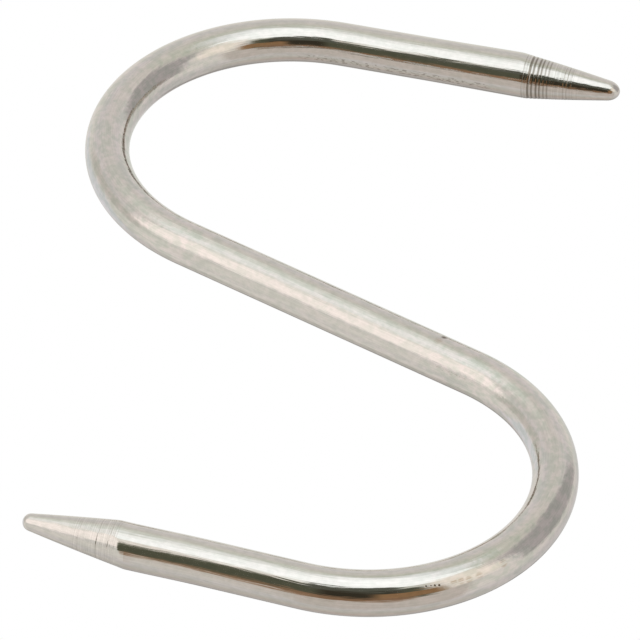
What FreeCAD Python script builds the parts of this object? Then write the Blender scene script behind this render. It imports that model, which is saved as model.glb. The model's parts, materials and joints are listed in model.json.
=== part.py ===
import FreeCAD, Part
import math
import os
import Sketcher

# A butcher's S hook: one length of round stainless bar, bent cold into an S,
# with both ends turned to a point before bending.
#
# Frame: the S lies in the XZ plane and hangs as in use. +Z runs up the line
# through the centres of both bends, which is the line of the load. The origin
# is on the inner crown of the upper bend, where the hook sits on its rail.
# Lengths are in millimetres and angles in degrees.

NODE = "s_hook"

DIMENSIONS = {
    "bar_diameter": 8.0,
    "shank_length": 62.0,        # straight bar between the two bends
    "upper_bend_radius": 34.0,   # to the centre of the bar
    "upper_sweep": 159.5,
    "upper_arm_length": 34.6,    # straight bar from the bend to its point
    "upper_point_length": 17.9,  # turned taper, its round tip included
    "upper_tip_radius": 1.7,
    "lower_bend_radius": 33.0,
    "lower_sweep": 163.5,
    "lower_arm_length": 32.0,
    "lower_point_length": 18.0,
    "lower_tip_radius": 1.5,
}

VOLUME_TOLERANCE = 0.002

# Geometry indices of the path sketch, in the order in which the bar runs.
LOWER_ARM, LOWER_BEND, SHANK, UPPER_BEND, UPPER_ARM = range(5)
START, END, CENTRE = 1, 2, 3
ORIGIN = -1


def make_sheet(doc):
    """Spreadsheet that holds every driving dimension under its own alias."""
    sheet = doc.addObject("Spreadsheet::Sheet", "dims")
    for row, (alias, value) in enumerate(DIMENSIONS.items(), start=1):
        sheet.set(f"A{row}", alias)
        sheet.set(f"B{row}", str(value))
        sheet.setAlias(f"B{row}", alias)
    doc.recompute()
    return sheet


def half_angles():
    """Heading of the shank and of both arms, in radians, towards each point."""
    size = DIMENSIONS
    both_radii = size["upper_bend_radius"] + size["lower_bend_radius"]
    shank = math.pi / 2 + math.atan2(both_radii, size["shank_length"])
    upper = shank - math.radians(size["upper_sweep"])
    lower = shank - math.pi - math.radians(size["lower_sweep"])
    return shank, upper, lower


def heading_formula(half):
    """Expression for the heading of one arm, from +X towards +Z."""
    shank = "90 deg + atan((dims.upper_bend_radius + dims.lower_bend_radius) / dims.shank_length)"
    turn_back = "0 deg" if half == "upper" else "180 deg"
    return f"{shank} - {turn_back} - dims.{half}_sweep * 1 deg"


def centre_height_formula(half):
    """Expression for the height of one bend's centre."""
    upper = "dims.bar_diameter / 2 - dims.upper_bend_radius"
    if half == "upper":
        return upper
    radii = "(dims.upper_bend_radius + dims.lower_bend_radius)"
    return f"{upper} - sqrt({radii} ^ 2 + dims.shank_length ^ 2)"


def arm_end_formulas(half):
    """Expressions for the X and Z of the section where one point begins."""
    heading = heading_formula(half)
    radius = f"dims.{half}_bend_radius"
    arm = f"dims.{half}_arm_length"
    x_formula = f"{arm} * cos({heading}) - {radius} * sin({heading})"
    z_formula = f"{centre_height_formula(half)} + {arm} * sin({heading}) + {radius} * cos({heading})"
    return x_formula, z_formula


def origin_plane(body, role):
    """One of the body's own origin planes, such as XZ_Plane."""
    return next(plane for plane in body.Origin.OriginFeatures if plane.Role == role)


def new_sketch(body, name, role):
    sketch = body.newObject("Sketcher::SketchObject", name)
    sketch.AttachmentSupport = (origin_plane(body, role), [""])
    sketch.MapMode = "FlatFace"
    return sketch


def constrain(sketch, name, formula, *args):
    """Add a dimension, name it and bind it to the sheet."""
    index = sketch.addConstraint(Sketcher.Constraint(*args))
    sketch.renameConstraint(index, name)
    sketch.setExpression(f"Constraints.{name}", formula)
    return index


def point_at(centre, radius, angle):
    return centre + FreeCAD.Vector(radius * math.cos(angle), radius * math.sin(angle), 0)


def make_path(body):
    """Centre line of the bar: arm, bend, shank, bend, arm, all tangent."""
    size = DIMENSIONS
    shank, upper, lower = half_angles()
    upper_radius = size["upper_bend_radius"]
    lower_radius = size["lower_bend_radius"]
    upper_centre = FreeCAD.Vector(0, size["bar_diameter"] / 2 - upper_radius, 0)
    spacing = math.hypot(upper_radius + lower_radius, size["shank_length"])
    lower_centre = upper_centre - FreeCAD.Vector(0, spacing, 0)

    # A bend turns clockwise on the way to its point, so its centre line is
    # a quarter turn anticlockwise of the heading, seen from the centre.
    quarter = math.pi / 2
    shank_top = point_at(upper_centre, upper_radius, shank + quarter)
    shank_foot = point_at(lower_centre, lower_radius, shank - quarter)
    upper_start = point_at(upper_centre, upper_radius, upper + quarter)
    lower_start = point_at(lower_centre, lower_radius, lower + quarter)
    upper_end = point_at(upper_start, size["upper_arm_length"], upper)
    lower_end = point_at(lower_start, size["lower_arm_length"], lower)

    def bend(centre, radius, low_angle, high_angle):
        circle = Part.Circle(centre, FreeCAD.Vector(0, 0, 1), radius)
        return Part.ArcOfCircle(circle, low_angle, high_angle)

    sketch = new_sketch(body, "path", "XZ_Plane")
    sketch.addGeometry([
        Part.LineSegment(lower_end, lower_start),
        bend(lower_centre, lower_radius, lower + quarter, shank - quarter),
        Part.LineSegment(shank_foot, shank_top),
        bend(upper_centre, upper_radius, upper + quarter, shank + quarter),
        Part.LineSegment(upper_start, upper_end),
    ], False)

    # Both arcs run anticlockwise from their START. On the lower bend that is
    # the arm's end of the bend, and on the upper bend it is the arm's too.
    for first, first_end, second, second_end in (
        (LOWER_ARM, END, LOWER_BEND, START),
        (LOWER_BEND, END, SHANK, START),
        (SHANK, END, UPPER_BEND, END),
        (UPPER_BEND, START, UPPER_ARM, START),
    ):
        sketch.addConstraint(Sketcher.Constraint("Tangent", first, first_end, second, second_end))

    sketch.addConstraint(Sketcher.Constraint("Vertical", ORIGIN, START, UPPER_BEND, CENTRE))
    sketch.addConstraint(Sketcher.Constraint("Vertical", UPPER_BEND, CENTRE, LOWER_BEND, CENTRE))
    crown = "dims.upper_bend_radius - dims.bar_diameter / 2"
    constrain(sketch, "crown", crown,
              "DistanceY", UPPER_BEND, CENTRE, ORIGIN, START, -upper_centre.y)
    for name, edge in (("shank_length", SHANK), ("upper_arm_length", UPPER_ARM),
                       ("lower_arm_length", LOWER_ARM)):
        constrain(sketch, name, f"dims.{name}", "Distance", edge, size[name])
    for half, edge in (("upper", UPPER_BEND), ("lower", LOWER_BEND)):
        radius = f"{half}_bend_radius"
        constrain(sketch, radius, f"dims.{radius}", "Radius", edge, size[radius])
        sweep = f"{half}_sweep"
        constrain(sketch, sweep, f"dims.{sweep} * 1 deg", "Angle", edge, math.radians(size[sweep]))
    return sketch


def make_section(body):
    """The bar's round section, square to the path where the lower arm ends."""
    sketch = new_sketch(body, "section", "YZ_Plane")
    # The YZ plane's own axes are Y, Z and then X along its normal.
    x_formula, z_formula = arm_end_formulas("lower")
    sketch.AttachmentOffset = FreeCAD.Placement(
        FreeCAD.Vector(0, 0, 0), FreeCAD.Rotation(FreeCAD.Vector(1, 0, 0), 1))
    sketch.setExpression("AttachmentOffset.Base.y", z_formula)
    sketch.setExpression("AttachmentOffset.Base.z", x_formula)
    sketch.setExpression("AttachmentOffset.Rotation.Angle", f"-({heading_formula('lower')})")
    radius = DIMENSIONS["bar_diameter"] / 2
    sketch.addGeometry(Part.Circle(FreeCAD.Vector(0, 0, 0), FreeCAD.Vector(0, 0, 1), radius), False)
    sketch.addConstraint(Sketcher.Constraint("Coincident", 0, CENTRE, ORIGIN, START))
    constrain(sketch, "bar_diameter", "dims.bar_diameter", "Diameter", 0, 2 * radius)
    return sketch


def make_bar(body):
    """Sweep the round section along the path."""
    path = make_path(body)
    section = make_section(body)
    body.Document.recompute()
    bar = body.newObject("PartDesign::AdditivePipe", "bar")
    bar.Profile = section
    bar.Spine = path
    body.Document.recompute()
    return bar


def touch_angle(half):
    """Angle, at the tip's centre, from the axis to where the flank meets the tip."""
    size = DIMENSIONS
    radius = size["bar_diameter"] / 2
    tip_radius = size[f"{half}_tip_radius"]
    reach = size[f"{half}_point_length"] - tip_radius
    slope = math.atan2(radius, reach) - math.asin(tip_radius / math.hypot(radius, reach))
    return math.pi / 2 - slope


def make_point(body, half):
    """Turn one end to a straight taper with a round tip."""
    size = DIMENSIONS
    radius = size["bar_diameter"] / 2
    length = size[f"{half}_point_length"]
    tip_radius = size[f"{half}_tip_radius"]
    tip_centre = FreeCAD.Vector(length - tip_radius, 0, 0)
    touch = point_at(tip_centre, tip_radius, touch_angle(half))
    base, flank, tip, axis = range(4)

    sketch = new_sketch(body, f"{half}_profile", "XZ_Plane")
    x_formula, z_formula = arm_end_formulas(half)
    sketch.AttachmentOffset = FreeCAD.Placement(
        FreeCAD.Vector(0, 0, 0), FreeCAD.Rotation(FreeCAD.Vector(0, 0, 1), 1))
    sketch.setExpression("AttachmentOffset.Base.x", x_formula)
    sketch.setExpression("AttachmentOffset.Base.y", z_formula)
    sketch.setExpression("AttachmentOffset.Rotation.Angle", heading_formula(half))

    circle = Part.Circle(tip_centre, FreeCAD.Vector(0, 0, 1), tip_radius)
    sketch.addGeometry([
        Part.LineSegment(FreeCAD.Vector(0, 0, 0), FreeCAD.Vector(0, radius, 0)),
        Part.LineSegment(FreeCAD.Vector(0, radius, 0), touch),
        Part.ArcOfCircle(circle, 0, touch_angle(half)),
        Part.LineSegment(FreeCAD.Vector(length, 0, 0), FreeCAD.Vector(0, 0, 0)),
    ], False)
    sketch.addConstraint([
        Sketcher.Constraint("Coincident", base, START, ORIGIN, START),
        Sketcher.Constraint("Coincident", base, END, flank, START),
        Sketcher.Constraint("Tangent", flank, END, tip, END),
        Sketcher.Constraint("Coincident", tip, START, axis, START),
        Sketcher.Constraint("Coincident", axis, END, base, START),
        Sketcher.Constraint("Vertical", base),
        Sketcher.Constraint("Horizontal", axis),
        Sketcher.Constraint("PointOnObject", tip, CENTRE, axis),
    ])
    constrain(sketch, "bar_radius", "dims.bar_diameter / 2", "Distance", base, radius)
    constrain(sketch, "point_length", f"dims.{half}_point_length", "Distance", axis, length)
    constrain(sketch, "tip_radius", f"dims.{half}_tip_radius", "Radius", tip, tip_radius)
    body.Document.recompute()

    point = body.newObject("PartDesign::Revolution", f"{half}_point")
    point.Profile = sketch
    point.ReferenceAxis = (sketch, ["H_Axis"])
    point.Angle = 360.0
    body.Document.recompute()
    return point


def bar_volume():
    """Volume of the bent bar alone: its section times its centre line."""
    size = DIMENSIONS
    length = size["shank_length"] + size["upper_arm_length"] + size["lower_arm_length"]
    for half in ("upper", "lower"):
        length += size[f"{half}_bend_radius"] * math.radians(size[f"{half}_sweep"])
    return length * math.pi * size["bar_diameter"] ** 2 / 4


def point_volume(half):
    """Volume of one turned point: a cone's frustum and the cap of its tip."""
    size = DIMENSIONS
    radius = size["bar_diameter"] / 2
    tip_radius = size[f"{half}_tip_radius"]
    touch = point_at(FreeCAD.Vector(), tip_radius, touch_angle(half))
    end_radius = touch.y
    flank_length = size[f"{half}_point_length"] - tip_radius + touch.x
    cap_height = tip_radius - touch.x
    frustum = math.pi * flank_length * (radius ** 2 + radius * end_radius + end_radius ** 2) / 3
    cap = math.pi * cap_height ** 2 * (tip_radius - cap_height / 3)
    return frustum + cap


def check(doc, body):
    """Stop unless every object is sound and the solid has the volume it should."""
    for item in doc.Objects:
        if "Invalid" in item.State or "Error" in item.State:
            raise RuntimeError(f"{item.Name} failed: {item.State}")
    shape = body.Shape
    if shape.isNull() or not shape.isValid():
        raise RuntimeError(f"{body.Label} has no valid shape")
    if len(shape.Solids) != 1:
        raise RuntimeError(f"{body.Label} should be one solid, not {len(shape.Solids)}")
    expected = bar_volume() + point_volume("upper") + point_volume("lower")
    if abs(shape.Volume / expected - 1) > VOLUME_TOLERANCE:
        raise RuntimeError(f"{body.Label} holds {shape.Volume:.1f} mm3, not {expected:.1f}")


def main():
    os.makedirs("parts", exist_ok=True)
    doc = FreeCAD.newDocument("meat_hook")
    make_sheet(doc)
    body = doc.addObject("PartDesign::Body", NODE)
    body.Label = NODE
    make_bar(body)
    make_point(body, "lower")
    body.Tip = make_point(body, "upper")
    body.Placement = FreeCAD.Placement()
    doc.recompute()
    check(doc, body)
    body.Shape.exportStep(f"parts/{NODE}.step")
    box = body.Shape.BoundBox
    print(f"{NODE}: {box.XLength:.1f} x {box.YLength:.1f} x {box.ZLength:.1f} mm, "
          f"volume {body.Shape.Volume:.0f} mm3")


main()
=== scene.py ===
import json
import math

import bpy
import numpy as np
from mathutils import Matrix, Vector


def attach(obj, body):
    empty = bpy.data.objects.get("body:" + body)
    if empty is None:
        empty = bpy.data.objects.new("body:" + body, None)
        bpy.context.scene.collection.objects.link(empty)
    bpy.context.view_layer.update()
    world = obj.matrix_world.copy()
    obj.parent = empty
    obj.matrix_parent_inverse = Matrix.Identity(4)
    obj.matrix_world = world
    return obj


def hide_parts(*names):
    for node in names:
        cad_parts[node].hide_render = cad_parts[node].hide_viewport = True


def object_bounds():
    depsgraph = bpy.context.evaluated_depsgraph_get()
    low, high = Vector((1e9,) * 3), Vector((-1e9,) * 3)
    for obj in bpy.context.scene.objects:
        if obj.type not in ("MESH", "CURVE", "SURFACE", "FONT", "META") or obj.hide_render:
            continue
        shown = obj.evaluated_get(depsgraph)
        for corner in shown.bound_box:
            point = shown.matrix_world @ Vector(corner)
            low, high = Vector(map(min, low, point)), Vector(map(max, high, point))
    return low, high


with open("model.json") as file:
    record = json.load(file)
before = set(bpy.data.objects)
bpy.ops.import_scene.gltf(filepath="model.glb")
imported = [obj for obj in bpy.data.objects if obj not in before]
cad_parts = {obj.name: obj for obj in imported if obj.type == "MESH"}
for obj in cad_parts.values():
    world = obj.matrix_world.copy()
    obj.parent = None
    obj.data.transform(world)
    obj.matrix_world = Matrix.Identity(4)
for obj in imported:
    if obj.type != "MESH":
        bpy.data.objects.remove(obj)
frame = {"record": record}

# Looks for the S hook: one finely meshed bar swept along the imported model's own
# centre line, with the lathe's rings cut into both points, in polished stainless
# steel, inside a light tent. Lengths are in metres unless a name ends in _MM.

CAD_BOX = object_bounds()
MM = 0.001

# Mesh
SIDES = 96
ARM_STEP = 2.0 * MM
BEND_STEP = 1.0 * MM
FINE_STEP = 0.04 * MM
SMOOTH_STEP = 0.25 * MM
TIP_RINGS = 14
ANGLES = 2.0 * math.pi * np.arange(SIDES) / SIDES

# Turned points. The taper starts softly over edge_round, its flank is a little
# convex, and the tip is stretched along the axis. A point was chucked a little off the
# bar's axis, so its cone leans to the side of lean_angle, in degrees round the bar.
# arm_share is how much of that lean is the arm's own bow. The arm is thicker by swell
# next to the point. Each set of the lathe's grooves has a first place, a pitch, a
# count, a width and a depth, in mm, and the depth falls by the share fade up to the
# set's last groove.
EDGE_REACH = 1.6 * MM
BOW_REACH = 15.0 * MM
SWELL_REACH = 20.0 * MM
POINTS = {
    "upper": {
        "tip_radius": 1.75 * MM, "tip_stretch": 1.5, "swell": 0.12 * MM,
        "lean": 0.13 * MM, "lean_angle": 124.0, "arm_share": 0.0,
        "edge_round": 0.25 * MM, "bulge": 0.10 * MM,
        "grooves": [
            {"first": 0.29, "pitch": 0.48, "count": 2, "width": 0.10, "depth": 0.026, "fade": 0.0},
            {"first": 1.44, "pitch": 0.70, "count": 6, "width": 0.20, "depth": 0.065, "fade": 0.60},
            {"first": 5.40, "pitch": 0.62, "count": 7, "width": 0.12, "depth": 0.014, "fade": 0.5},
            {"first": 7.80, "pitch": 0.70, "count": 3, "width": 0.08, "depth": 0.022, "fade": 0.3},
        ]},
    "lower": {
        "tip_radius": 1.5 * MM, "tip_stretch": 1.0, "swell": 0.0,
        "lean": 0.18 * MM, "lean_angle": -49.0, "arm_share": 1.0,
        "edge_round": 0.15 * MM, "bulge": 0.08 * MM,
        "grooves": [
            {"first": 0.40, "pitch": 0.36, "count": 21, "width": 0.09, "depth": 0.008, "fade": 0.5},
            {"first": 1.60, "pitch": 1.90, "count": 4, "width": 0.09, "depth": 0.014, "fade": 0.3},
        ]},
}
GROOVE_END = 11.0 * MM
GROOVE_PLACE_JITTER = 0.10
GROOVE_DEPTH_JITTER = 0.20
GROOVE_SEED = 11

# Camera, as seen from the hook's own frame: it looks up from in front and below. Its
# values come from a fit of the hook's outline to the photograph's.
CAMERA_AZIMUTH = -10.5
CAMERA_ELEVATION = -51.0
CAMERA_ROLL = -12.0
CAMERA_DISTANCE = 1.3414
CAMERA_LENS_MM = 428.9
SENSOR_MM = 36.0
AIM_FROM_CENTRE = Vector((-3.0, 0.0, -4.4)) * MM
CLIP_START = 0.01
CLIP_END = 100.0

# Stage
FLOOR_HEIGHT = -1.3
FLOOR_SIZE = 40.0
FLOOR_COLOUR = (0.9, 0.9, 0.89, 1.0)
FLOOR_ROUGHNESS = 0.9
WORLD_COLOUR = (1.0, 1.0, 1.0, 1.0)
TENT_RADIUS = 0.85
TENT_SEGMENTS = 240
TENT_RINGS = 120

# Light that meets the steel twice is dimmed where it comes from the tent's two flanks,
# a stand-in for the shade between the inner faces of a bend. The ranges are degrees
# from the way away from the camera, on either side, and degrees above the plane that
# the S lies in.
SECOND_BOUNCE = (0.50, 0.44, 0.38, 1.0)
MORE_THAN_ONE_BOUNCE = 1.5
FLANK_AZIMUTH = (50.0, 120.0)
FLANK_ELEVATION = (-25.0, 45.0)
FLANK_SOFT = 8.0

# Mean colour of the steel. The tent's display colours are divided by it, so that the
# steel shows them as they are written.
STEEL = (0.66, 0.64, 0.61)

# Marks on the bar: place along it from the lower point's base in mm, angle round it
# in degrees, radius and soft edge in mm.
PITS = [(52.4, -135, 0.05, 0.16), (53.2, -136, 0.04, 0.12), (53.8, -137, 0.07, 0.16),
        (54.5, -139, 0.09, 0.16), (133.0, -108, 0.15, 0.60)]
SCUFFS = [(57.0, -140, 0.3, 0.5), (58.2, -142, 0.3, 0.5), (59.5, -145, 0.3, 0.5),
          (61.4, -146, 0.3, 0.6), (66.1, -142, 0.4, 0.5), (133.2, -86, 0.3, 0.8)]

# Where each finish lies along the bar, in mm from the lower cone's base (LOWER) or
# from the upper cone's base (UPPER), growing towards the upper point. Each pair is
# where the finish is still absent and where it is complete.
BENT_LOWER, BENT_UPPER = (44.0, 76.0), (-46.0, -84.0)
SHANK_LOWER, SHANK_UPPER = (122.0, 140.0), (-125.0, -143.0)
TURNED_LOWER, TURNED_UPPER = (0.1, -0.3), (-0.1, 0.3)
RINGED_LOWER, RINGED_UPPER = (-11.0, -7.0), (13.0, 8.0)
DASHED_STARTS_UPPER, DASHED_ENDS_UPPER = (-45.0, -38.0), (-4.0, -8.0)
BENT_ON_SHANK = 0.4

# The dashes lie in a narrow strip along the upper arm, given in the section's own X
# and Y, in mm from the bar's axis.
DASHED_X = (0.0, -1.0)
DASHED_Y_STARTS, DASHED_Y_ENDS = (0.2, 0.6), (1.9, 1.5)

# Grain of each noise: width round the bar and length along it in mm, octaves and
# roughness.
GRAINS = {
    "fine_lines": (0.16, 8.0, 3.0, 0.6),
    "broad_lines": (0.5, 9.0, 2.0, 0.5),
    "mottle": (0.7, 1.1, 3.0, 0.6),
    "clouds": (1.5, 2.2, 2.0, 0.5),
    "dashes": (0.26, 0.9, 1.0, 0.5),
    "rings": (40.0, 0.28, 2.0, 0.7),
}
NOISE_SPAN = (0.3, 0.7)

# Colour of the steel: two tints in patches, shades by grain, and the marks. Where a
# name has STRAIGHT and BENT, the value depends on whether the bar was bent there.
GREENISH = (0.640, 0.643, 0.600, 1.0)
PINKISH = (0.681, 0.635, 0.617, 1.0)
MOTTLE_IN_PATCHES = 0.5
PATCH_SPAN = (0.6, 0.9)
PATCHES_STRAIGHT, PATCHES_BENT = (0.35, 0.65), (0.0, 1.0)
CLOUD_SHADE_STRAIGHT, CLOUD_SHADE_BENT = (0.985, 1.015), (0.94, 1.05)
MOTTLE_SHADE = (0.95, 1.04)
FINE_SHADE = (0.945, 1.045)
RING_SHADE = (0.86, 1.08)
DASH_SPAN, DASH_COVER = (0.55, 0.62), 0.9
WORN_SPAN, WORN_COVER = (0.42, 0.6), 0.6
# The lathe's grooves are coloured darker by their cut depth: not at all at the first depth, fully at the
# second.
GROOVE_DARK_DEPTHS_MM = (0.002, 0.045)
DASH_COLOUR = (0.36, 0.33, 0.30, 1.0)
WORN_COLOUR = (0.40, 0.31, 0.23, 1.0)
PIT_COLOUR = (0.14, 0.11, 0.09, 1.0)
GROOVE_DARK_COLOUR = (0.27, 0.245, 0.215, 1.0)

# Roughness, and what the mottling, the scuffs and the turning add to it.
ROUGHNESS_STRAIGHT, ROUGHNESS_BENT = 0.055, 0.11
MOTTLE_ROUGHNESS = (-0.02, 0.025)
WORN_ROUGHNESS = 0.2
TURNED_ROUGHNESS = 0.05

# Bumps: grain, height in mm, and strength where the bar is straight and where it is bent.
BUMPS = [
    ("fine_lines", 0.005, 1.0, 1.0),
    ("broad_lines", 0.038, 1.0, 0.6),
    ("mottle", 0.010, 0.15, 1.0),
    ("clouds", 0.05, 0.1, 1.0),
]
RING_HEIGHT_MM = 0.004
PIT_DEPTH_MM = 0.02


# ---------------------------------------------------------------- centre line

def mount(name):
    return next(m for m in frame["record"]["mounts"] if m["name"] == name)


def planar(vector):
    """X and Z of a vector as a complex number: the hook's plane."""
    return complex(vector[0], vector[2])


def arm_of(half):
    """Start, unit heading, length and bar radius of one straight arm."""
    pin = mount(f"{half}_arm")
    heading = planar(pin["axis"])
    length = pin["dims"]["length_mm"] * MM
    start = planar(pin["pos_m"]) - heading * length / 2
    return start, heading / abs(heading), length, pin["dims"]["r_mm"] * MM


def bend_of(start, heading):
    """Centre and radius of the bend that ends at an arm's start, centred on X = 0."""
    to_left = heading * 1j
    radius = start.real / to_left.real
    return start - to_left * radius, radius


def smooth(share):
    """Smooth rise from 0 to 1 as the share goes from 0 to 1."""
    share = min(1.0, max(0.0, share))
    return share * share * (3.0 - 2.0 * share)


def line_stations(start, heading, length, step):
    """Stations along a straight stretch, without its last one."""
    count = max(1, round(length / step))
    return [(start + heading * length * i / count, heading, length * i / count)
            for i in range(count)]


def bend_stations(centre, radius, first, last, turn, step):
    """Stations along a bend, from heading angle first to last, without its last one.
    turn is +1 where the bar turns to its left and -1 where it turns to its right."""
    length = abs(last - first) * radius
    count = max(1, round(length / step))
    stations = []
    for i in range(count):
        angle = first + (last - first) * i / count
        heading = complex(math.cos(angle), math.sin(angle))
        place = centre - heading * 1j * radius * turn
        stations.append((place, heading, length * i / count))
    return stations


def groove_places(point):
    """Every groove of a point as place, width and depth, unevenly spaced and cut."""
    chance = np.random.default_rng(GROOVE_SEED)
    places = []
    for cut in point["grooves"]:
        for i in range(cut["count"]):
            shift, strength = chance.uniform(-1.0, 1.0, 2)
            place = cut["first"] + (i + shift * GROOVE_PLACE_JITTER) * cut["pitch"]
            fade = 1.0 - cut["fade"] * i / max(1, cut["count"] - 1)
            depth = cut["depth"] * fade * (1.0 + strength * GROOVE_DEPTH_JITTER)
            places.append((place * MM, cut["width"] * MM, depth * MM))
    return places


def groove_depth(x, grooves):
    """Depth cut by all the grooves at x along a point."""
    return sum(depth * math.exp(-((x - place) / width) ** 2) for place, width, depth in grooves)


def point_length(half):
    """Length of a turned point: what the CAD box holds past the end of its arm."""
    start, heading, length, _ = arm_of(half)
    tip_radius = POINTS[half]["tip_radius"]
    arm_end = (start + heading * length).real
    low, high = CAD_BOX
    box_end = high.x if heading.real > 0 else low.x
    return (abs(box_end - arm_end) - tip_radius) / abs(heading.real) + tip_radius


def cone_slope(length, tip_radius, bar_radius):
    """Slope angle of the cone that runs from the bar's edge to the tip's sphere."""
    reach = length - tip_radius
    return math.atan2(bar_radius, reach) - math.asin(tip_radius / math.hypot(bar_radius, reach))


def side_share(half):
    """How far each side of a ring faces the way its point leans, from -1 to 1."""
    return np.cos(ANGLES - math.radians(POINTS[half]["lean_angle"]))


def sway(half, x, reach):
    """Sideways shift of the centre line at x from the cone's base. reach is where the
    cone's own shift is complete."""
    point = POINTS[half]
    if x < 0:
        return -point["arm_share"] * point["lean"] * (1.0 - smooth(-x / BOW_REACH))
    return point["lean"] * (smooth(x / reach) - point["arm_share"])


def point_profile(half, bar_radius):
    """Offset, radius round the ring, groove depth and sideways shift along one point,
    from just inside the arm to the tip."""
    point = POINTS[half]
    length = point_length(half)
    bar_radius = bar_radius + point["swell"]
    slope = cone_slope(length, point["tip_radius"], bar_radius)
    grooves = groove_places(point)
    facing = side_share(half)

    # The tip is half an ellipsoid that meets the flank where their slopes agree.
    meet = math.atan(math.tan(slope) * point["tip_stretch"])
    touch = length - point["tip_stretch"] * point["tip_radius"] * (1.0 - math.sin(meet))
    settled = point["arm_share"] * point["lean"]

    def flank(x):
        start = point["lean"] * facing / math.tan(slope)
        eased = point["edge_round"] * np.log1p(np.exp((x - start) / point["edge_round"]))
        share = min(1.0, max(0.0, x / length))
        return (bar_radius - eased * math.tan(slope) + 4.0 * point["bulge"] * share * (1.0 - share)
                - (sway(half, x, touch) + settled) * facing)

    stretches = [(-EDGE_REACH, GROOVE_END, FINE_STEP), (GROOVE_END, touch, SMOOTH_STEP)]
    profile = []
    for first, last, step_size in stretches:
        count = round((last - first) / step_size)
        for i in range(count):
            x = first + (last - first) * i / count
            depth = groove_depth(x, grooves)
            profile.append((x, flank(x) - depth, depth, sway(half, x, touch)))
    for i in range(TIP_RINGS):
        angle = meet + (math.pi / 2 - meet) * i / TIP_RINGS
        along = (math.sin(angle) - math.sin(meet)) / (1.0 - math.sin(meet))
        across = math.cos(angle) / math.cos(meet)
        profile.append((touch + (length - touch) * along, flank(touch) * across, 0.0,
                        sway(half, touch, touch)))
    return profile


def sideways(half, shift, heading):
    """A shift towards the point's lean, as a move in the hook's plane and one along Y."""
    turn = math.radians(POINTS[half]["lean_angle"])
    return heading * 1j * shift * math.cos(turn), shift * math.sin(turn)


def point_stations(half, end, heading, outward, base, bar_radius):
    """Stations of one point. heading runs along the bar and outward towards the tip;
    base is the distance along the bar of the cone's base."""
    sign = 1.0 if outward == heading else -1.0
    stations = []
    for x, radii, depth, shift in point_profile(half, bar_radius):
        move, lift = sideways(half, shift, heading)
        stations.append((end + outward * x + move, lift, heading, radii, base + sign * x, depth))
    return stations


def arm_stations(half, start, heading, length, to_base, bar_radius):
    """Stations along an arm. to_base(along) is how far the cone's base still is."""
    stations = []
    for place, _, along in line_stations(start, heading, length, ARM_STEP):
        left = to_base(along)
        move, lift = sideways(half, sway(half, -left, BOW_REACH), heading)
        growth = POINTS[half]["swell"] * smooth(1.0 - left / SWELL_REACH)
        radii = np.full(SIDES, bar_radius + growth)
        stations.append((place + move, lift, heading, radii, along, 0.0))
    return stations


def bar_stations():
    """Every ring of the bar from the lower tip to the upper tip: centre in the hook's
    plane, centre's Y, heading, radii, distance along the bar and groove depth."""
    lower_start, lower_heading, lower_length, bar_radius = arm_of("lower")
    upper_start, upper_heading, upper_length, _ = arm_of("upper")
    lower_centre, lower_radius = bend_of(lower_start, lower_heading)
    upper_centre, upper_radius = bend_of(upper_start, upper_heading)
    spacing = abs(upper_centre - lower_centre)
    shank_angle = math.pi / 2 + math.asin((lower_radius + upper_radius) / spacing)
    shank_heading = complex(math.cos(shank_angle), math.sin(shank_angle))
    shank_start = lower_centre - shank_heading * 1j * lower_radius
    shank_length = math.sqrt(spacing ** 2 - (lower_radius + upper_radius) ** 2)
    arrive = math.atan2(-lower_heading.imag, -lower_heading.real)
    leave = math.atan2(upper_heading.imag, upper_heading.real)

    lower_end = lower_start + lower_heading * lower_length
    upper_end = upper_start + upper_heading * upper_length
    lower_run = lower_length - EDGE_REACH
    upper_run = upper_length - EDGE_REACH
    plain = [
        (bend_stations(lower_centre, lower_radius, arrive, shank_angle, 1, BEND_STEP),
         lower_radius * (shank_angle - arrive)),
        (line_stations(shank_start, shank_heading, shank_length, ARM_STEP), shank_length),
        (bend_stations(upper_centre, upper_radius, shank_angle, leave, -1, BEND_STEP),
         upper_radius * (shank_angle - leave)),
    ]

    stations = point_stations("lower", lower_end, -lower_heading, lower_heading, 0.0, bar_radius)[:0:-1]
    travelled = EDGE_REACH
    lower_arm = arm_stations("lower", lower_end - lower_heading * EDGE_REACH, -lower_heading,
                             lower_run, lambda along: EDGE_REACH + along, bar_radius)
    stations += [(*station[:4], travelled + station[4], station[5]) for station in lower_arm]
    travelled += lower_run
    for stretch, length in plain:
        for place, heading, along in stretch:
            stations.append((place, 0.0, heading, np.full(SIDES, bar_radius), travelled + along, 0.0))
        travelled += length
    upper_arm = arm_stations("upper", upper_start, upper_heading, upper_run,
                             lambda along: upper_length - along, bar_radius)
    stations += [(*station[:4], travelled + station[4], station[5]) for station in upper_arm]
    travelled += upper_length
    stations += point_stations("upper", upper_end, upper_heading, upper_heading, travelled, bar_radius)
    return stations, travelled


# ---------------------------------------------------------------------- mesh

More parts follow.
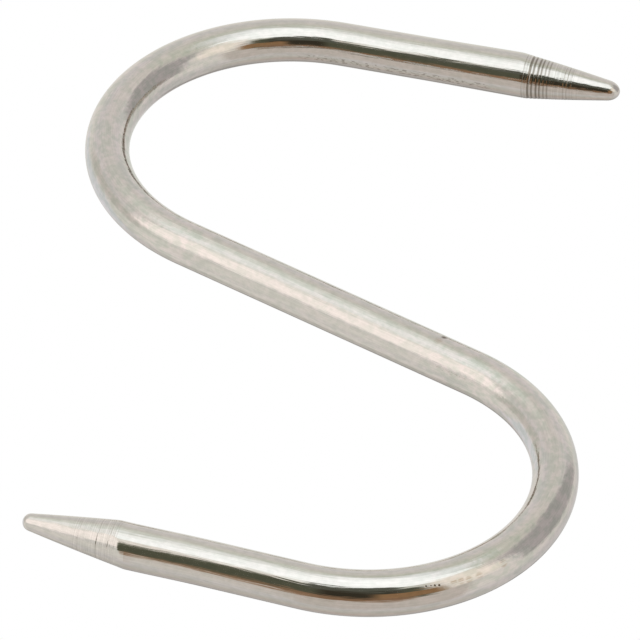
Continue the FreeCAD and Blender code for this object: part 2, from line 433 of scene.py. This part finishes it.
def build_hook():
    """One closed mesh of the whole bar, and the bar's length between its two cones."""
    stations, travelled = bar_stations()
    vertices, unrolled, cut_depth = [], [], []
    for place, lift, heading, radii, along, depth in stations:
        outward = heading * 1j
        for radius, angle in zip(radii, ANGLES):
            off = outward * radius * math.cos(angle)
            vertices.append((place.real + off.real, lift + radius * math.sin(angle), place.imag + off.imag))
            unrolled.append((radius * math.cos(angle), radius * math.sin(angle), along))
            cut_depth.append(depth)
    faces = []
    for i in range(len(stations) - 1):
        for j in range(SIDES):
            k = (j + 1) % SIDES
            faces.append((i * SIDES + j, (i + 1) * SIDES + j, (i + 1) * SIDES + k, i * SIDES + k))
    first_tip, last_tip = len(vertices), len(vertices) + 1
    ends = (("lower", stations[0], -1.0, 0.0), ("upper", stations[-1], 1.0, travelled))
    for half, (place, lift, heading, _, along, _), sign, base in ends:
        ahead = point_length(half) - abs(along - base)
        tip = place + heading * sign * ahead
        vertices.append((tip.real, lift, tip.imag))
        unrolled.append((0.0, 0.0, along + sign * ahead))
        cut_depth.append(0.0)
    last = (len(stations) - 1) * SIDES
    for j in range(SIDES):
        k = (j + 1) % SIDES
        faces.append((first_tip, j, k))
        faces.append((last_tip, last + k, last + j))

    mesh = bpy.data.meshes.new("hook_bar")
    mesh.from_pydata(vertices, [], faces)
    mesh.validate()
    mesh.update()
    mesh.shade_smooth()
    places = mesh.attributes.new("unrolled", "FLOAT_VECTOR", "POINT")
    places.data.foreach_set("vector", np.array(unrolled, np.float32).ravel())
    depths = mesh.attributes.new("cut_depth", "FLOAT", "POINT")
    depths.data.foreach_set("value", np.array(cut_depth, np.float32))
    piece = bpy.data.objects.new("hook_bar", mesh)
    bpy.context.scene.collection.objects.link(piece)
    return piece, travelled


# ------------------------------------------------------------------ materials

class Graph:
    """Short calls for building a node tree."""

    def __init__(self, name):
        self.material = bpy.data.materials.new(name)
        self.material.use_nodes = True
        self.nodes = self.material.node_tree.nodes
        self.links = self.material.node_tree.links
        self.shader = self.nodes["Principled BSDF"]

    def put(self, socket, value):
        if isinstance(value, bpy.types.NodeSocket):
            self.links.new(value, socket)
        else:
            socket.default_value = value

    def attribute(self, name, output):
        node = self.nodes.new("ShaderNodeAttribute")
        node.attribute_name = name
        return node.outputs[output]

    def scaled(self, vector, scale):
        node = self.nodes.new("ShaderNodeVectorMath")
        node.operation = "MULTIPLY"
        self.put(node.inputs[0], vector)
        self.put(node.inputs[1], scale)
        return node.outputs["Vector"]

    def part(self, vector, axis):
        node = self.nodes.new("ShaderNodeSeparateXYZ")
        self.put(node.inputs["Vector"], vector)
        return node.outputs[axis]

    def noise(self, vector, across_mm, along_mm, detail, roughness):
        """Noise whose grains have the width and length given."""
        across, along = across_mm * MM, along_mm * MM
        node = self.nodes.new("ShaderNodeTexNoise")
        self.put(node.inputs["Vector"], self.scaled(vector, (1 / across, 1 / across, 1 / along)))
        node.inputs["Scale"].default_value = 1.0
        node.inputs["Detail"].default_value = detail
        node.inputs["Roughness"].default_value = roughness
        return node.outputs["Fac"]

    def dim(self, colour, factor):
        node = self.nodes.new("ShaderNodeVectorMath")
        node.operation = "SCALE"
        self.put(node.inputs[0], colour)
        self.put(node.inputs["Scale"], factor)
        return node.outputs["Vector"]

    def math(self, operation, first, second):
        node = self.nodes.new("ShaderNodeMath")
        node.operation = operation
        self.put(node.inputs[0], first)
        self.put(node.inputs[1], second)
        return node.outputs["Value"]

    def rise(self, value, low, high, bottom=0.0, top=1.0):
        """Smooth rise from bottom to top as the value goes from low to high."""
        node = self.nodes.new("ShaderNodeMapRange")
        node.interpolation_type = "SMOOTHSTEP"
        self.put(node.inputs["Value"], value)
        self.put(node.inputs["From Min"], low)
        self.put(node.inputs["From Max"], high)
        self.put(node.inputs["To Min"], bottom)
        self.put(node.inputs["To Max"], top)
        return node.outputs["Result"]

    def rise_mm(self, value, span_mm):
        """Smooth rise from 0 to 1 over a span of lengths in mm."""
        return self.rise(value, span_mm[0] * MM, span_mm[1] * MM)

    def between(self, share, first, second):
        """The first value where the share is 0, and the second where it is 1."""
        return self.rise(share, 0.0, 1.0, first, second)

    def product(self, first, second):
        return self.math("MULTIPLY", first, second)

    def blend(self, share, first, second):
        node = self.nodes.new("ShaderNodeMix")
        node.data_type = "RGBA"
        self.put(node.inputs["Factor"], share)
        self.put(node.inputs["A"], first)
        self.put(node.inputs["B"], second)
        return node.outputs["Result"]

    def bump(self, height, distance, strength=1.0, under=None):
        node = self.nodes.new("ShaderNodeBump")
        node.inputs["Distance"].default_value = distance
        self.put(node.inputs["Strength"], strength)
        self.put(node.inputs["Height"], height)
        if under is not None:
            self.put(node.inputs["Normal"], under)
        return node.outputs["Normal"]


def spot(graph, place, along, angle, radius, soft):
    """1 inside a round mark on the bar's surface, falling to 0 over its soft edge.
    The place is in mm along the bar from the lower point, and degrees round it."""
    bar_radius = mount("upper_arm")["dims"]["r_mm"] * MM
    turn = math.radians(angle)
    centre = (bar_radius * math.cos(turn), bar_radius * math.sin(turn), along * MM)
    node = graph.nodes.new("ShaderNodeVectorMath")
    node.operation = "DISTANCE"
    graph.put(node.inputs[0], place)
    graph.put(node.inputs[1], centre)
    return graph.rise(node.outputs["Value"], (radius + soft) * MM, radius * MM)


def spots(graph, place, marks):
    """All the marks of one kind, as one mask."""
    total = 0.0
    for along, angle, radius, soft in marks:
        total = graph.math("MAXIMUM", spot(graph, place, along, angle, radius, soft), total)
    return total


def finish_masks(graph, place, length):
    """Where the bar was bent, turned and ringed by the lathe, and where it is dashed."""
    from_lower = graph.part(place, "Z")
    from_upper = graph.math("SUBTRACT", from_lower, length)
    bent = graph.product(graph.rise_mm(from_lower, BENT_LOWER), graph.rise_mm(from_upper, BENT_UPPER))
    shank = graph.product(graph.rise_mm(from_lower, SHANK_LOWER), graph.rise_mm(from_upper, SHANK_UPPER))
    bent = graph.product(bent, graph.between(shank, 1.0, BENT_ON_SHANK))
    turned = graph.math("MAXIMUM", graph.rise_mm(from_lower, TURNED_LOWER),
                        graph.rise_mm(from_upper, TURNED_UPPER))
    ringed = graph.product(graph.rise_mm(from_lower, RINGED_LOWER), graph.rise_mm(from_upper, RINGED_UPPER))
    ringed = graph.product(ringed, turned)
    height = graph.part(place, "Y")
    strip = graph.product(graph.rise_mm(height, DASHED_Y_STARTS), graph.rise_mm(height, DASHED_Y_ENDS))
    strip = graph.product(strip, graph.rise_mm(graph.part(place, "X"), DASHED_X))
    dashed = graph.product(graph.rise_mm(from_upper, DASHED_STARTS_UPPER),
                           graph.rise_mm(from_upper, DASHED_ENDS_UPPER))
    return bent, turned, ringed, graph.product(dashed, strip)


def steel_colour(graph, grain, bent, ringed, marks):
    """Base colour: patches of two tints, shaded by every grain, with the marks on top."""
    patches = graph.math("ADD", grain["clouds"], graph.product(grain["mottle"], MOTTLE_IN_PATCHES))
    patches = graph.rise(patches, *PATCH_SPAN, graph.between(bent, PATCHES_STRAIGHT[0], PATCHES_BENT[0]),
                         graph.between(bent, PATCHES_STRAIGHT[1], PATCHES_BENT[1]))
    tint = graph.blend(patches, GREENISH, PINKISH)
    cloud_low = graph.between(bent, CLOUD_SHADE_STRAIGHT[0], CLOUD_SHADE_BENT[0])
    cloud_high = graph.between(bent, CLOUD_SHADE_STRAIGHT[1], CLOUD_SHADE_BENT[1])
    shade = graph.product(graph.rise(grain["mottle"], *NOISE_SPAN, *MOTTLE_SHADE),
                          graph.rise(grain["fine_lines"], *NOISE_SPAN, *FINE_SHADE))
    shade = graph.product(shade, graph.rise(grain["clouds"], *NOISE_SPAN, cloud_low, cloud_high))
    ring_shade = graph.rise(grain["rings"], *NOISE_SPAN, *RING_SHADE)
    shade = graph.product(shade, graph.between(ringed, 1.0, ring_shade))
    colour = graph.dim(tint, shade)
    for mask, mark_colour in marks:
        colour = graph.blend(mask, colour, mark_colour)
    return colour


def polished_steel(length):
    """Drawn and polished stainless bar: draw lines along it, a satin skin with
    mottling where it was bent, a few pits and scuffs, and the lathe's grooves
    coloured darker by their depth."""
    graph = Graph("polished_steel")
    place = graph.attribute("unrolled", "Vector")
    grain = {name: graph.noise(place, *sizes) for name, sizes in GRAINS.items()}
    bent, turned, ringed, dashed = finish_masks(graph, place, length)
    dashes = graph.product(graph.rise(grain["dashes"], *DASH_SPAN, 0.0, DASH_COVER), dashed)
    pits = spots(graph, place, PITS)
    worn = graph.product(spots(graph, place, SCUFFS),
                         graph.rise(grain["fine_lines"], *WORN_SPAN, 0.0, WORN_COVER))
    # The grooves' colour darkens with their cut depth.
    groove_dark = graph.rise_mm(graph.attribute("cut_depth", "Fac"), GROOVE_DARK_DEPTHS_MM)
    marks = ((dashes, DASH_COLOUR), (worn, WORN_COLOUR), (pits, PIT_COLOUR), (groove_dark, GROOVE_DARK_COLOUR))
    graph.put(graph.shader.inputs["Base Color"], steel_colour(graph, grain, bent, ringed, marks))

    graph.shader.inputs["Metallic"].default_value = 1.0
    gloss = graph.between(bent, ROUGHNESS_STRAIGHT, ROUGHNESS_BENT)
    gloss = graph.math("ADD", gloss, graph.rise(grain["mottle"], *NOISE_SPAN, *MOTTLE_ROUGHNESS))
    gloss = graph.math("ADD", gloss, graph.product(worn, WORN_ROUGHNESS))
    gloss = graph.math("ADD", gloss, graph.product(turned, TURNED_ROUGHNESS))
    graph.put(graph.shader.inputs["Roughness"], gloss)

    normal = None
    for name, height_mm, straight, curved in BUMPS:
        strength = graph.between(bent, straight, curved)
        normal = graph.bump(grain[name], height_mm * MM, strength, under=normal)
    normal = graph.bump(grain["rings"], RING_HEIGHT_MM * MM, ringed, under=normal)
    normal = graph.bump(pits, -PIT_DEPTH_MM * MM, under=normal)
    graph.put(graph.shader.inputs["Normal"], normal)
    return graph.material


# ---------------------------------------------------------------------- stage

def direction_of(azimuth, elevation):
    """Unit vector from the hook towards a camera at that azimuth and elevation."""
    a, e = math.radians(azimuth), math.radians(elevation)
    return Vector((math.sin(a) * math.cos(e), -math.cos(a) * math.cos(e), math.sin(e)))


def add_camera():
    low, high = CAD_BOX
    aim = (low + high) / 2 + AIM_FROM_CENTRE
    back = direction_of(CAMERA_AZIMUTH, CAMERA_ELEVATION)
    level = Vector((0, 0, 1)).cross(back).normalized()
    upright = back.cross(level)
    roll = math.radians(CAMERA_ROLL)
    right = level * math.cos(roll) + upright * math.sin(roll)
    up = back.cross(right)
    turned = Matrix((right, up, back)).transposed().to_4x4()
    data = bpy.data.cameras.new("camera")
    data.sensor_width = SENSOR_MM
    data.lens = CAMERA_LENS_MM
    data.clip_start = CLIP_START
    data.clip_end = CLIP_END
    camera = bpy.data.objects.new("camera", data)
    camera.matrix_world = Matrix.Translation(aim + back * CAMERA_DISTANCE) @ turned
    bpy.context.scene.collection.objects.link(camera)
    bpy.context.scene.camera = camera
    return right


def step(low, high, value):
    """Smooth rise from 0 at low to 1 at high."""
    share = np.clip((value - low) / (high - low), 0.0, 1.0)
    return share * share * (3.0 - 2.0 * share)


def window(value, low, high, soft):
    """1 between low and high, falling softly to 0 outside them."""
    return step(low - soft, low + soft, value) * (1.0 - step(high - soft, high + soft, value))


# The tent in display colours. Azimuth 0 is straight away from the camera and grows
# to the right; elevation is above the plane that the S lies in, towards the viewer's
# side. Rows of SKY are elevation and colour. Cards are laid over it in order. The
# values began as a least-squares fit to the photograph's colours along the bar. Some
# were then reset. All the colours and some of the places were rounded to fives.
SKY = [
    (-90, (170, 155, 145)),
    (-65, (175, 170, 160)),
    (-45, (185, 180, 175)),
    (-20, (200, 195, 185)),
    (0, (200, 195, 185)),
    (20, (190, 185, 180)),
    (45, (190, 185, 175)),
    (58, (180, 180, 165)),
    (68, (215, 215, 210)),
    (78, (245, 245, 240)),
    (90, (255, 255, 250)),
]
CARDS = [
    # name, azimuth centre, half width, soft, low, high, soft, colour, opacity
    ("overhead", -157, 106, 6, 55, 80, 5, (250, 250, 245), 0.95),
    ("ceiling_left", -55, 45, 15, 50, 70, 15, (215, 215, 205), 0.90),
    ("under_table", -5, 90, 15, -100, -65, 4, (160, 155, 150), 0.60),
    ("bench", 171, 41, 4, -43, 16, 8, (175, 165, 155), 0.85),
    ("counter_left", -95, 15, 15, -60, 45, 10, (205, 200, 190), 0.90),
    ("rim_left", -50, 20, 4, -45, -10, 6, (195, 195, 195), 0.80),
    ("rim_right", 25, 20, 8, -40, -10, 4, (190, 190, 180), 0.80),
    ("counter_right", 55, 35, 15, -60, -20, 15, (180, 175, 170), 0.90),
    ("grey_right", 72, 28, 6, -8, 47, 6, (155, 150, 145), 1.00),
    ("grey_left", -70, 25, 5, -5, 20, 6, (180, 175, 165), 1.00),
    ("lamp_right", 123, 16, 7, 13, 56, 7, (225, 215, 200), 1.00),
    ("lamp_left", -126, 39, 7, 14, 53, 7, (240, 230, 220), 1.00),
    ("room", 184, 36, 4, 5, 49, 4, (75, 75, 60), 1.00),
    ("room_top", 185, 27, 4, 37, 59, 3, (80, 80, 70), 1.00),
    ("room_core", 180, 20, 5, 0, 40, 5, (50, 45, 35), 1.00),
    ("cupboard", 158, 16, 4, 10, 32, 4, (130, 100, 70), 1.00),
    ("skirting", -175, 28, 4, -3, 13, 4, (130, 100, 75), 0.90),
    ("window", -75, 15, 10, 50, 70, 10, (230, 225, 220), 0.60),
    ("contact", 5, 35, 10, -69, -47, 5, (135, 130, 125), 0.90),
]


def to_linear(colour):
    """Linear light from a display colour of 0 to 255, which may pass 255."""
    share = np.asarray(colour, float) / 255.0
    return np.where(share <= 0.04045, share / 12.92, ((share + 0.055) / 1.055) ** 2.4)


def tent_colour(azimuth, elevation):
    """Display colour of the tent, as the steel shows it, for arrays of directions."""
    heights = [row[0] for row in SKY]
    colour = np.stack([np.interp(elevation, heights, [row[1][i] for row in SKY])
                       for i in range(3)], axis=-1)
    for _, centre, half, soft, low, high, soft_high, shade, opacity in CARDS:
        off = (azimuth - centre + 180.0) % 360.0 - 180.0
        cover = opacity * window(off, -half, half, soft) * window(elevation, low, high, soft_high)
        colour = colour + (np.array(shade, float) - colour) * cover[..., None]
    return colour


def tent_material():
    """Plain emission of the tent's own colour, dimmed after more than one glossy bounce."""
    material = bpy.data.materials.new("tent_light")
    material.use_nodes = True
    nodes, links = material.node_tree.nodes, material.node_tree.links
    nodes.clear()
    reader = nodes.new("ShaderNodeAttribute")
    reader.attribute_name = "light"
    sides = nodes.new("ShaderNodeAttribute")
    sides.attribute_name = "flank"
    path = nodes.new("ShaderNodeLightPath")
    again = nodes.new("ShaderNodeMath")
    again.operation = "GREATER_THAN"
    again.inputs[1].default_value = MORE_THAN_ONE_BOUNCE
    dimmed = nodes.new("ShaderNodeMath")
    dimmed.operation = "MULTIPLY"
    dimmer = nodes.new("ShaderNodeMix")
    dimmer.data_type = "RGBA"
    dimmer.blend_type = "MULTIPLY"
    dimmer.inputs["B"].default_value = SECOND_BOUNCE
    glow = nodes.new("ShaderNodeEmission")
    output = nodes.new("ShaderNodeOutputMaterial")
    links.new(path.outputs["Glossy Depth"], again.inputs[0])
    links.new(again.outputs["Value"], dimmed.inputs[0])
    links.new(sides.outputs["Fac"], dimmed.inputs[1])
    links.new(dimmed.outputs["Value"], dimmer.inputs["Factor"])
    links.new(reader.outputs["Color"], dimmer.inputs["A"])
    links.new(dimmer.outputs["Result"], glow.inputs["Color"])
    links.new(glow.outputs["Emission"], output.inputs["Surface"])
    material.cycles.emission_sampling = "NONE"
    return material


def add_tent(right):
    """A sphere of light round the hook, seen in reflections and not by the camera."""
    low, high = CAD_BOX
    up = Vector((0, -1, 0))
    side = (right - up * right.dot(up)).normalized()
    away = up.cross(side)
    bpy.ops.mesh.primitive_uv_sphere_add(segments=TENT_SEGMENTS, ring_count=TENT_RINGS, radius=TENT_RADIUS)
    tent = bpy.context.object
    tent.name = "light_tent"
    tent.location = (low + high) / 2
    axes = np.array([side, away, up])
    places = np.empty(3 * len(tent.data.vertices), np.float32)
    tent.data.vertices.foreach_get("co", places)
    places = places.reshape(-1, 3) / TENT_RADIUS
    turned = places @ axes
    tent.data.vertices.foreach_set("co", (turned * TENT_RADIUS).astype(np.float32).ravel())
    azimuth = np.degrees(np.arctan2(places[:, 0], places[:, 1]))
    elevation = np.degrees(np.arcsin(np.clip(places[:, 2], -1.0, 1.0)))
    light = to_linear(tent_colour(azimuth, elevation)) / np.array(STEEL)
    paint = tent.data.color_attributes.new("light", "FLOAT_COLOR", "POINT")
    paint.data.foreach_set("color", np.c_[light, np.ones(len(light))].astype(np.float32).ravel())
    flank = window(np.abs(azimuth), *FLANK_AZIMUTH, FLANK_SOFT)
    flank = flank * window(elevation, *FLANK_ELEVATION, FLANK_SOFT)
    shade = tent.data.attributes.new("flank", "FLOAT", "POINT")
    shade.data.foreach_set("value", flank.astype(np.float32))
    tent.data.materials.append(tent_material())
    tent.visible_camera = False


def add_floor():
    bpy.ops.mesh.primitive_plane_add(size=FLOOR_SIZE, location=(0, 0, FLOOR_HEIGHT))
    floor = bpy.context.object
    floor.name = "floor"
    material = bpy.data.materials.new("pale_floor")
    material.use_nodes = True
    shader = material.node_tree.nodes["Principled BSDF"]
    shader.inputs["Base Color"].default_value = FLOOR_COLOUR
    shader.inputs["Roughness"].default_value = FLOOR_ROUGHNESS
    floor.data.materials.append(material)
    floor.visible_glossy = False


def set_world():
    world = bpy.data.worlds.new("white")
    world.use_nodes = True
    background = world.node_tree.nodes["Background"]
    background.inputs["Color"].default_value = WORLD_COLOUR
    bpy.context.scene.world = world
    bpy.context.scene.view_settings.view_transform = "Standard"


# ----------------------------------------------------------------------- make

camera_right = add_camera()
set_world()
add_tent(camera_right)
add_floor()

hook, bar_length = build_hook()
hook.data.materials.append(polished_steel(bar_length))
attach(hook, "root")
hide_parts("s_hook")
